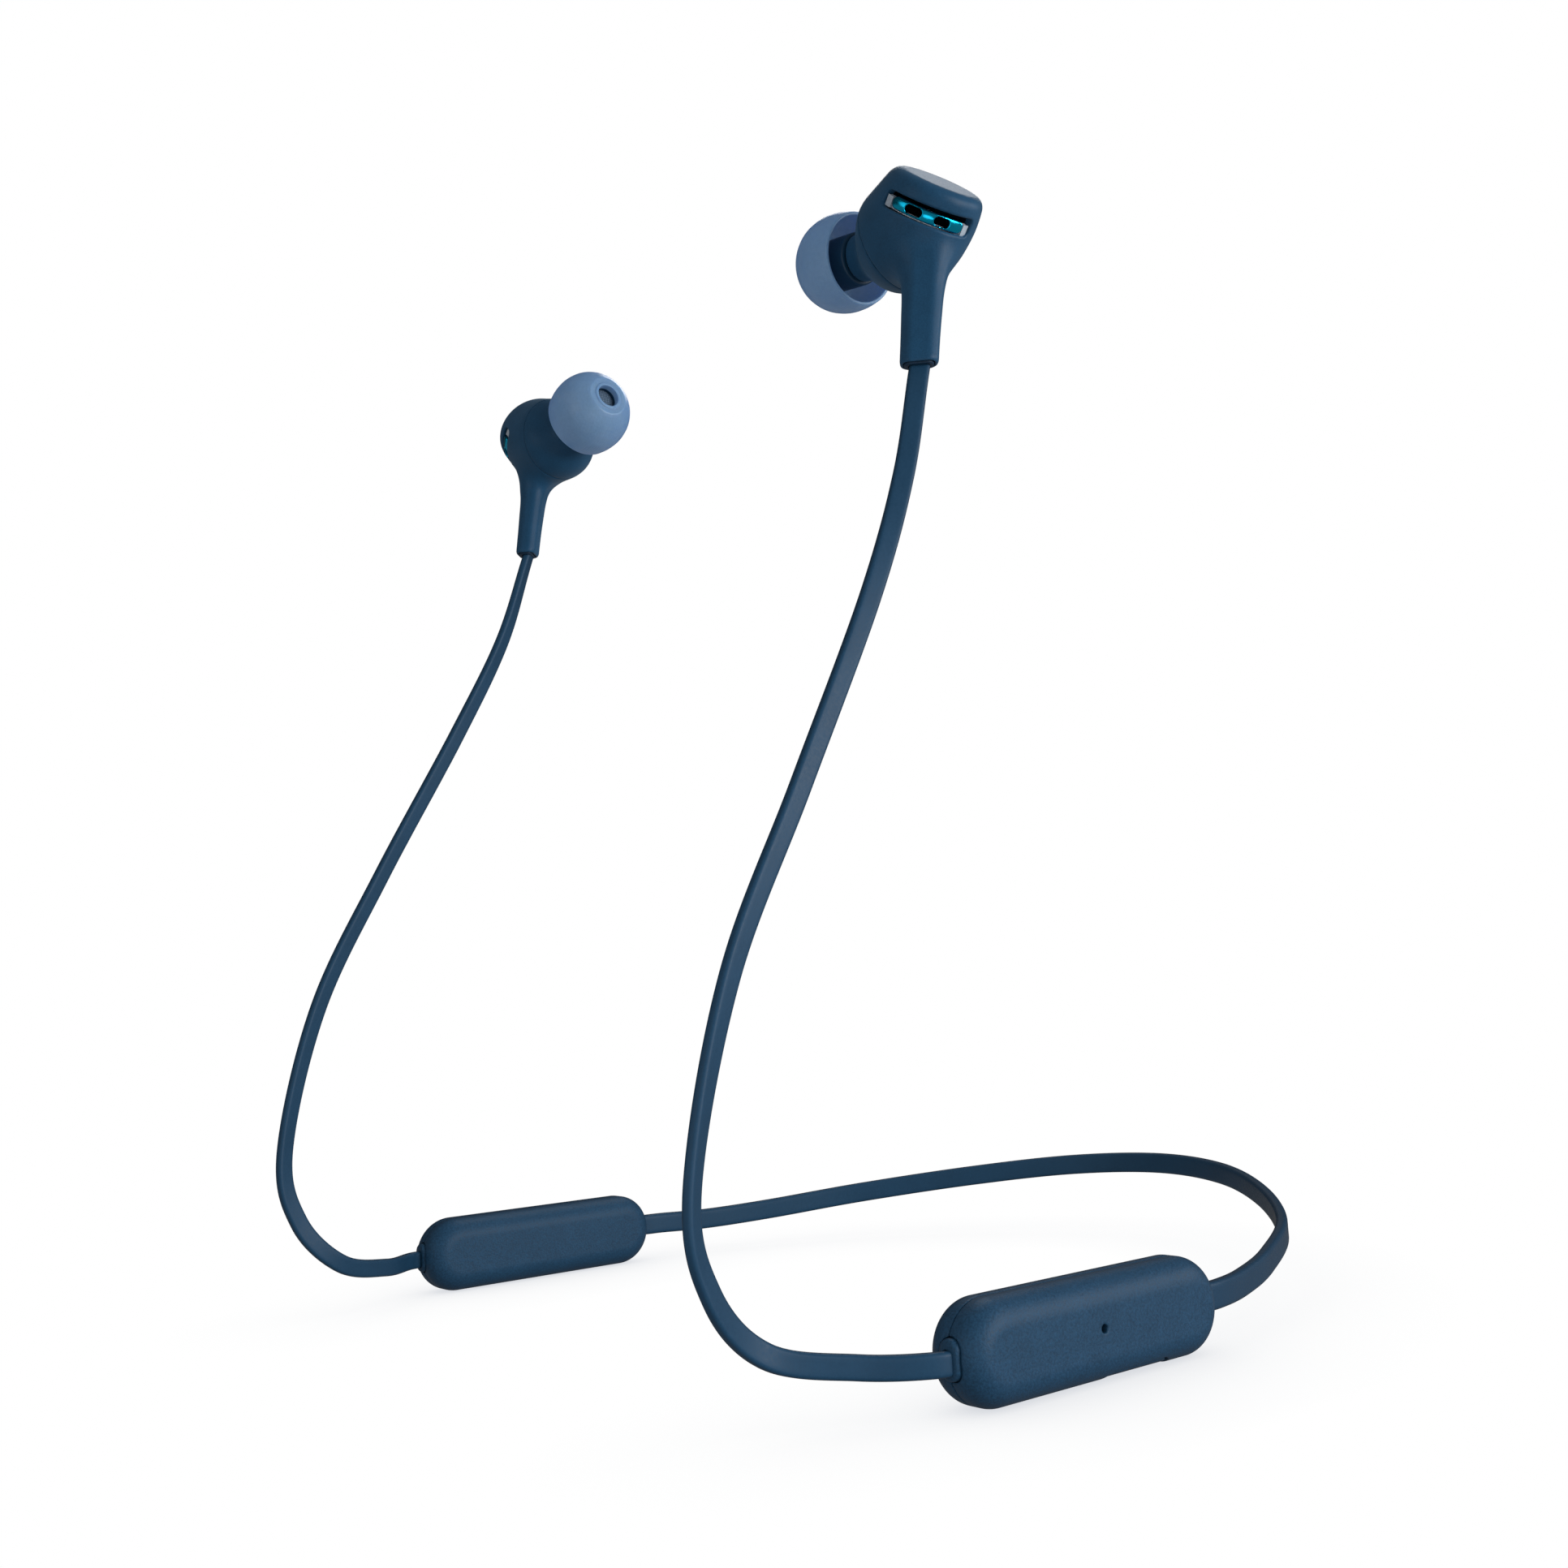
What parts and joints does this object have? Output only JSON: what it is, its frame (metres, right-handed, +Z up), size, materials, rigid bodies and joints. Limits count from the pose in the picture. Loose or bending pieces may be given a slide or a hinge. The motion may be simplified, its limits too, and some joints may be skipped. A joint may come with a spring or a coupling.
{
  "type": "neckband earphones",
  "caption": "Wireless neckband earphones: flat-cable neck loop, slim oval pendant units, flat ear cables and angled in-ear earbuds with stems and silicone eartips.",
  "frame": {"origin": "middle of the resting plane under the two pendant units, half way between the fronts of the ear cables and the back of the neck cable", "axes": "+Z up, away from the surface the units stand on; the wearer faces -Y; +X is towards the wearer's left"},
  "size_m": [0.1112, 0.1216, 0.1302],
  "materials": {
    "navy_shell": "fine satin moulding texture",
    "cable_rubber": "smooth matte",
    "dark_rubber": "matte",
    "teal_bar": "anodised, satin",
    "tip_silicone": "translucent, soft sheen",
    "tip_core": "smooth",
    "steel": "satin",
    "circuit_board": "solder mask",
    "contact_gold": "plated",
    "film": "thin moulded film",
    "magnet": "nickel plated",
    "cell_foil": "foil pouch",
    "foam": "open foam",
    "lamp_lens": "clear, frosted face",
    "screen_mesh": "woven screen"
  },
  "bodies": {
    "neck_cable": {"neck_cable": "cable_rubber"},
    "left_unit": {"left_neck_cable": "cable_rubber", "left_front_boot": "dark_rubber", "left_rear_boot": "dark_rubber", "left_unit_outer_half": "navy_shell", "left_unit_inner_half": "navy_shell", "left_main_board": "circuit_board", "radio_shield": "steel", "microphone": "contact_gold", "microphone_gasket": "foam", "status_lamp_lens": "lamp_lens", "switch_strip": "contact_gold", "usb_socket": "steel", "usb_contact_tongue": "dark_rubber"},
    "right_unit": {"right_neck_cable": "cable_rubber", "right_front_boot": "dark_rubber", "right_rear_boot": "dark_rubber", "right_unit_outer_half": "navy_shell", "right_unit_inner_half": "navy_shell", "battery": "cell_foil", "battery_guard_board": "circuit_board", "battery_pad": "foam"},
    "left_ear_cable_lower": {"left_ear_cable_lower": "cable_rubber"},
    "left_ear_cable_upper": {"left_ear_cable_upper": "cable_rubber"},
    "left_earbud": {"left_rear_housing": "navy_shell", "left_front_housing": "navy_shell", "left_duct_trim": "teal_bar", "left_duct_plate": "steel", "left_driver_frame": "dark_rubber", "left_driver_magnet": "magnet", "left_driver_diaphragm": "film", "left_nozzle_mesh": "screen_mesh", "left_clasp_magnet": "magnet", "left_strain_relief": "dark_rubber"},
    "left_eartip": {"left_eartip_dome": "tip_silicone", "left_eartip_sleeve": "tip_core"},
    "right_ear_cable_lower": {"right_ear_cable_lower": "cable_rubber"},
    "right_ear_cable_upper": {"right_ear_cable_upper": "cable_rubber"},
    "right_earbud": {"right_rear_housing": "navy_shell", "right_front_housing": "navy_shell", "right_duct_trim": "teal_bar", "right_duct_plate": "steel", "right_driver_frame": "dark_rubber", "right_driver_magnet": "magnet", "right_driver_diaphragm": "film", "right_nozzle_mesh": "screen_mesh", "right_clasp_magnet": "magnet", "right_strain_relief": "dark_rubber"},
    "right_eartip": {"right_eartip_dome": "tip_silicone", "right_eartip_sleeve": "tip_core"},
    "volume_up_button": {"volume_up_button": "navy_shell"},
    "play_button": {"play_button": "navy_shell"},
    "volume_down_button": {"volume_down_button": "navy_shell"},
    "power_button": {"power_button": "navy_shell"},
    "usb_cover": {"usb_cover": "dark_rubber"}
  },
  "joints": [
    {"name": "left_neck_flex", "type": "hinge", "parent": "neck_cable", "child": "left_unit", "pos_m": [0.0393, 0.0342, 0.00695], "axis": [0, 0, 1], "range_deg": [-6, 28]},
    {"name": "left_cable_swing", "type": "hinge", "parent": "left_unit", "child": "left_ear_cable_lower", "pos_m": [0.0523, -0.0387, 0.00475], "axis": [0, 0, -1], "range_deg": [-15, 15]},
    {"name": "left_cable_bend", "type": "hinge", "parent": "left_ear_cable_lower", "child": "left_ear_cable_upper", "pos_m": [0.0456, -0.0454, 0.05795], "axis": [0, 0.8767, -0.481], "range_deg": [-10, 35]},
    {"name": "left_earbud_tilt", "type": "hinge", "parent": "left_ear_cable_upper", "child": "left_earbud", "pos_m": [0.04237, -0.0228, 0.10515], "axis": [-0.7071, -0.7071, 0], "range_deg": [-35, 35]},
    {"name": "left_eartip_pull", "type": "slide", "parent": "left_earbud", "child": "left_eartip", "axis": [-0.9853, -0.017, 0.17], "range_m": [0, 0.008]},
    {"name": "right_neck_flex", "type": "hinge", "parent": "neck_cable", "child": "right_unit", "pos_m": [-0.0393, 0.0342, 0.00695], "axis": [0, 0, -1], "range_deg": [-6, 28]},
    {"name": "right_cable_swing", "type": "hinge", "parent": "right_unit", "child": "right_ear_cable_lower", "pos_m": [-0.0523, -0.0387, 0.00475], "axis": [0, 0, 1], "range_deg": [-15, 15]},
    {"name": "right_cable_bend", "type": "hinge", "parent": "right_ear_cable_lower", "child": "right_ear_cable_upper", "pos_m": [-0.0456, -0.0454, 0.05795], "axis": [0.305, -0.838, 0.4525], "range_deg": [-10, 35]},
    {"name": "right_earbud_tilt", "type": "hinge", "parent": "right_ear_cable_upper", "child": "right_earbud", "pos_m": [-0.04237, -0.0228, 0.10515], "axis": [-0.7071, 0.7071, 0], "range_deg": [-35, 35]},
    {"name": "right_eartip_pull", "type": "slide", "parent": "right_earbud", "child": "right_eartip", "axis": [0.9853, -0.017, 0.17], "range_m": [0, 0.008]},
    {"name": "volume_up_press", "type": "slide", "parent": "left_unit", "child": "volume_up_button", "axis": [1, 0, 0], "range_m": [0, 0.0002]},
    {"name": "play_press", "type": "slide", "parent": "left_unit", "child": "play_button", "axis": [1, 0, 0], "range_m": [0, 0.0002]},
    {"name": "volume_down_press", "type": "slide", "parent": "left_unit", "child": "volume_down_button", "axis": [1, 0, 0], "range_m": [0, 0.0002]},
    {"name": "power_press", "type": "slide", "parent": "left_unit", "child": "power_button", "axis": [1, 0, 0], "range_m": [0, 0.0002]},
    {"name": "usb_cover_flip", "type": "hinge", "parent": "left_unit", "child": "usb_cover", "pos_m": [0.0527, -0.0087, 0.0001], "axis": [1, 0, 0], "range_deg": [0, 95]}
  ]
}
